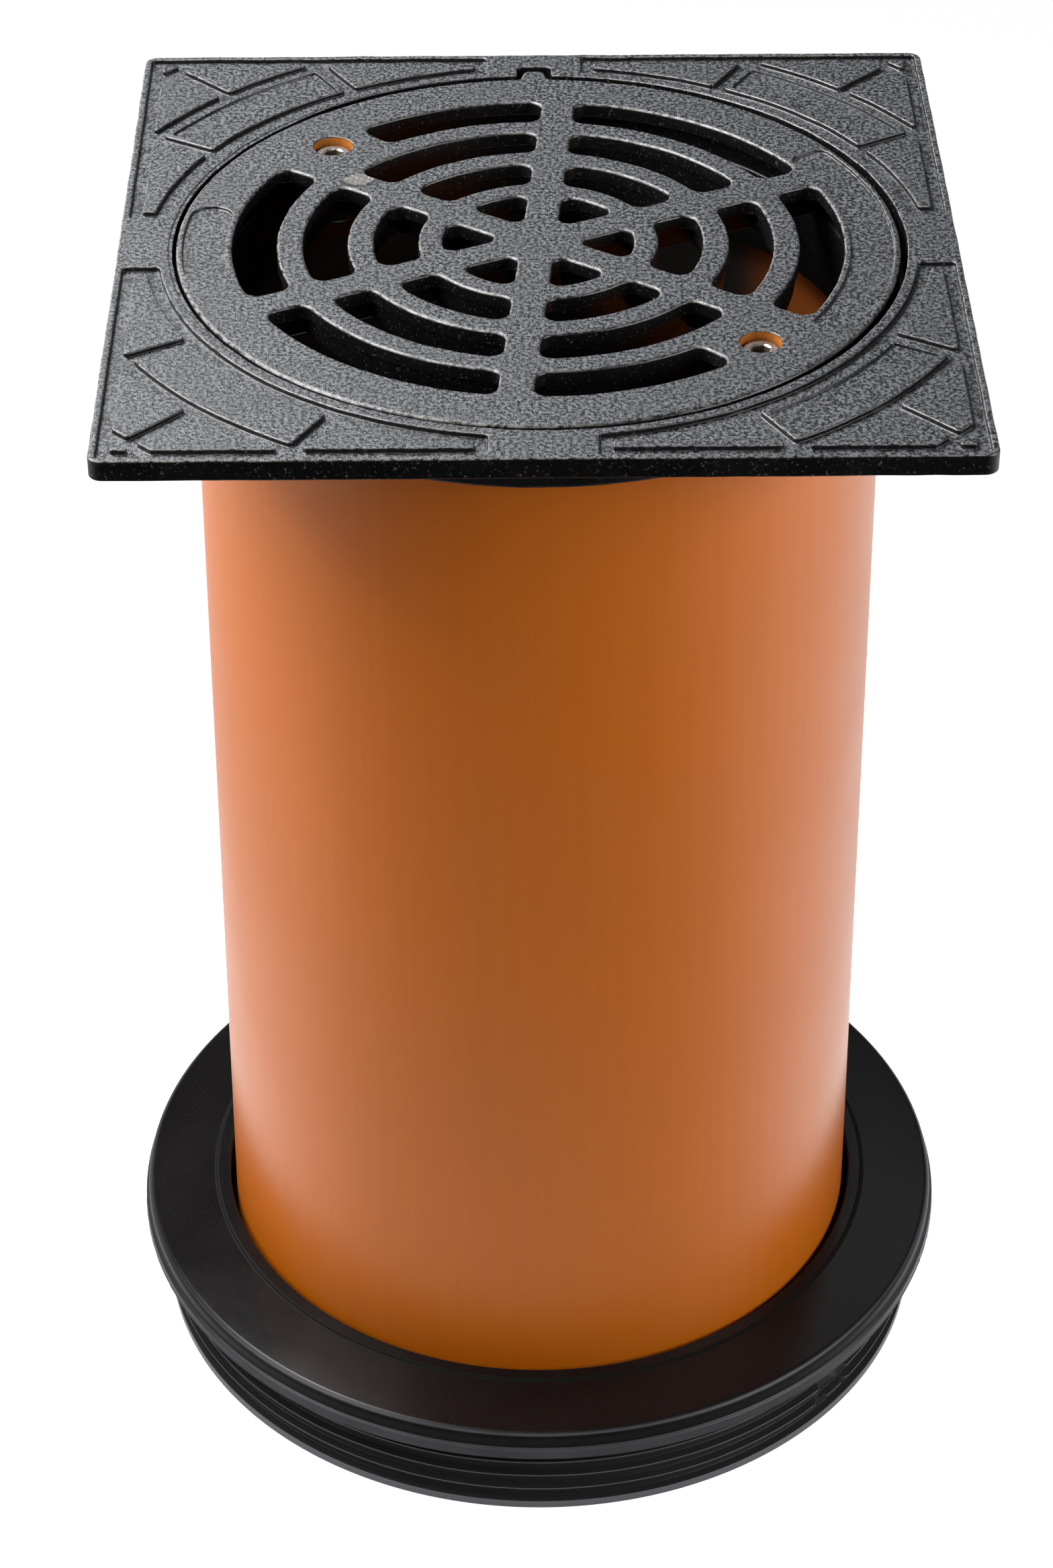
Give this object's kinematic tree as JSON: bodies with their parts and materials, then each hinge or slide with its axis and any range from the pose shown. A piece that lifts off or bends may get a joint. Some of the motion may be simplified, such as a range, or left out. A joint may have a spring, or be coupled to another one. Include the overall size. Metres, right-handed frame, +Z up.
{
  "type": "telescopic drain grate",
  "caption": "Square cast iron frame with a round slotted drain grate on a telescopic plastic pipe that slides in a rubber ring.",
  "frame": {"origin": "on the pipe's axis, in the plane on which the pipe's lower end and the rubber ring stand", "axes": "+Z up along the pipe's axis, +X to the right and +Y to the rear, along the sides of the square plate"},
  "size_m": [0.41, 0.41, 0.6],
  "materials": {
    "frame": "satin",
    "grate": "satin",
    "pipe": "satin",
    "seal": "matte",
    "screws": "satin"
  },
  "bodies": {
    "inlet": {"frame": "frame", "grate": "grate", "pipe": "pipe", "screw_rear_left": "screws", "screw_front_right": "screws"},
    "ring": {"seal": "seal"}
  },
  "joints": [
    {"name": "seal_slide", "type": "slide", "parent": "inlet", "child": "ring", "axis": [0, 0, 1], "range_m": [0, 0.5]}
  ]
}
